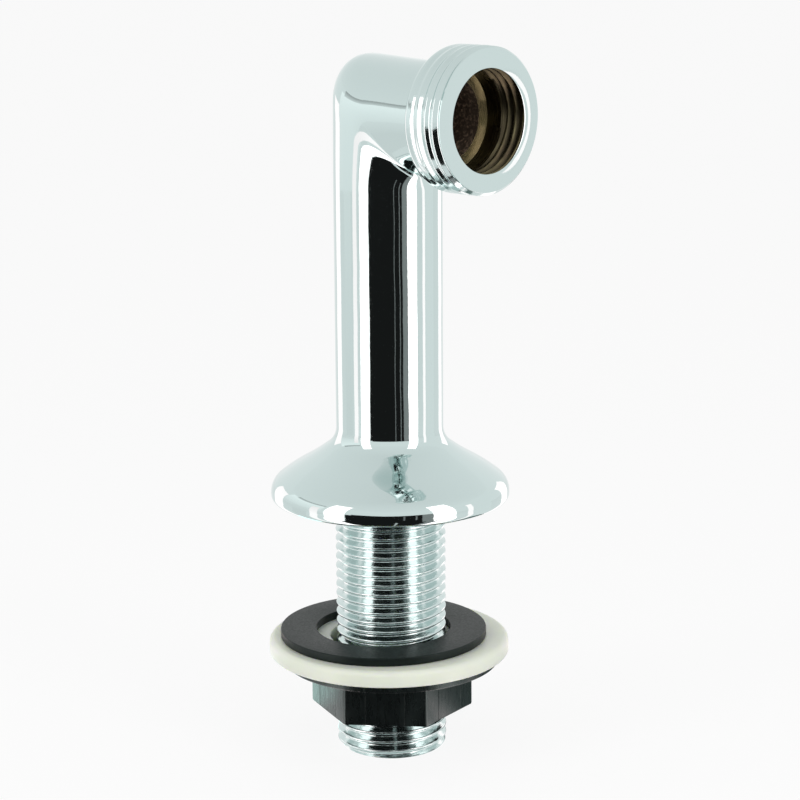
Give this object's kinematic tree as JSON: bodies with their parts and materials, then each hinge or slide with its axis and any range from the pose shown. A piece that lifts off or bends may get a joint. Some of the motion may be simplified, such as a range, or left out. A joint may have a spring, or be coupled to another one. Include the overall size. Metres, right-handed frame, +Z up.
{
  "type": "tap riser",
  "caption": "Deck-mounted riser leg: conical flange, column and cast elbow to a threaded outlet, with a threaded tail clamped below by a rubber washer, a plastic washer and a flanged back nut.",
  "frame": {"origin": "centre of the flange's underside, on the deck", "axes": "+Z up along the column, +X along the outlet, away from the column"},
  "size_m": [0.0487, 0.0459, 0.1347],
  "materials": {
    "chrome_plate": "bright chrome plate on brass, raw brass in the waterway",
    "black_rubber": "satin black rubber",
    "natural_plastic": "waxy, slightly translucent",
    "black_plastic": "moulded, satin"
  },
  "bodies": {
    "riser": {"riser_body": "chrome_plate"},
    "washers": {"rubber_washer": "black_rubber", "plastic_washer": "natural_plastic"},
    "nut": {"back_nut": "black_plastic"}
  },
  "joints": [
    {"name": "washer_slide", "type": "slide", "parent": "riser", "child": "washers", "axis": [0, 0, 1], "range_m": [-0.0073, 0.02545]},
    {"name": "nut_turn", "type": "hinge", "parent": "washers", "child": "nut", "pos_m": [0, 0, -0.035], "axis": [0, 0, 1], "range_deg": [-1440, 5040]}
  ],
  "couplings": [
    {"joint": "washer_slide", "follows": "nut_turn", "m_per_rad": 0.00028875}
  ]
}
